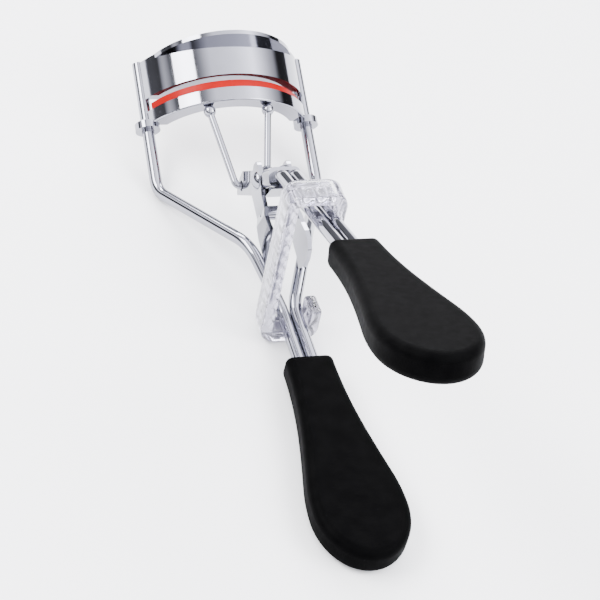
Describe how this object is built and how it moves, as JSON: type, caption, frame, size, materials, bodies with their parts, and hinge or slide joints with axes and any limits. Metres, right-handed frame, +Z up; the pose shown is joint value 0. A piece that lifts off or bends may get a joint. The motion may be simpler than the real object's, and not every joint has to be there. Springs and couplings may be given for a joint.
{
  "type": "eyelash curler",
  "caption": "Hand-held eyelash curler: curved fixed jaw, padded jaw sliding on guide rods, push rods, pivoting lever, paddle grips and a clear keeper strap.",
  "frame": {"origin": "bottom centre of the bounding box, with the curler lying on its back on the frame's upper bends and the frame grip's end", "axes": "+Z up, +Y from the grips to the jaws, +X across the jaws; seen from the grips the keeper strap's bar is at the left"},
  "size_m": [0.0354, 0.1172, 0.0511],
  "materials": {
    "chrome": "polished plating",
    "grip": "soft-touch matt",
    "core": "moulded",
    "pad": "satin silicone",
    "strap": "clear, flexible"
  },
  "bodies": {
    "frame": {"frame_rod_left": "chrome", "frame_rod_right": "chrome", "upper_jaw": "chrome", "cheek_plate_left": "chrome", "cheek_plate_right": "chrome", "pivot_rivet": "chrome", "stop_pin": "chrome", "frame_grip_core": "core", "frame_grip": "grip", "keeper_strap": "strap"},
    "lever": {"lever_channel": "chrome", "lever_rod_left": "chrome", "lever_rod_right": "chrome", "lever_grip_core": "core", "lever_grip": "grip"},
    "jaw": {"moving_jaw": "chrome", "jaw_pad": "pad"},
    "push_left": {"push_rod_left": "chrome"},
    "push_right": {"push_rod_right": "chrome"}
  },
  "joints": [
    {"name": "lever_hinge", "type": "hinge", "parent": "frame", "child": "lever", "pos_m": [0, 0.01878, 0.01645], "axis": [1, 0, 0], "range_deg": [-24, 3], "deforming": ["keeper_strap"]},
    {"name": "jaw_slide", "type": "slide", "parent": "frame", "child": "jaw", "axis": [0, 0.9149, 0.4037], "range_m": [-0.0055, 0.0007]},
    {"name": "push_left_hinge", "type": "hinge", "parent": "jaw", "child": "push_left", "pos_m": [-0.00554, 0.0417, 0.0133], "axis": [1, 0, 0], "range_deg": [-0.6, 4]},
    {"name": "push_right_hinge", "type": "hinge", "parent": "jaw", "child": "push_right", "pos_m": [0.00554, 0.0417, 0.0133], "axis": [1, 0, 0], "range_deg": [-0.6, 4]}
  ],
  "couplings": [
    {"joint": "jaw_slide", "follows": "lever_hinge", "m_per_rad": 0.012699},
    {"joint": "push_left_hinge", "follows": "lever_hinge", "ratio": -0.1608},
    {"joint": "push_right_hinge", "follows": "lever_hinge", "ratio": -0.1608}
  ]
}
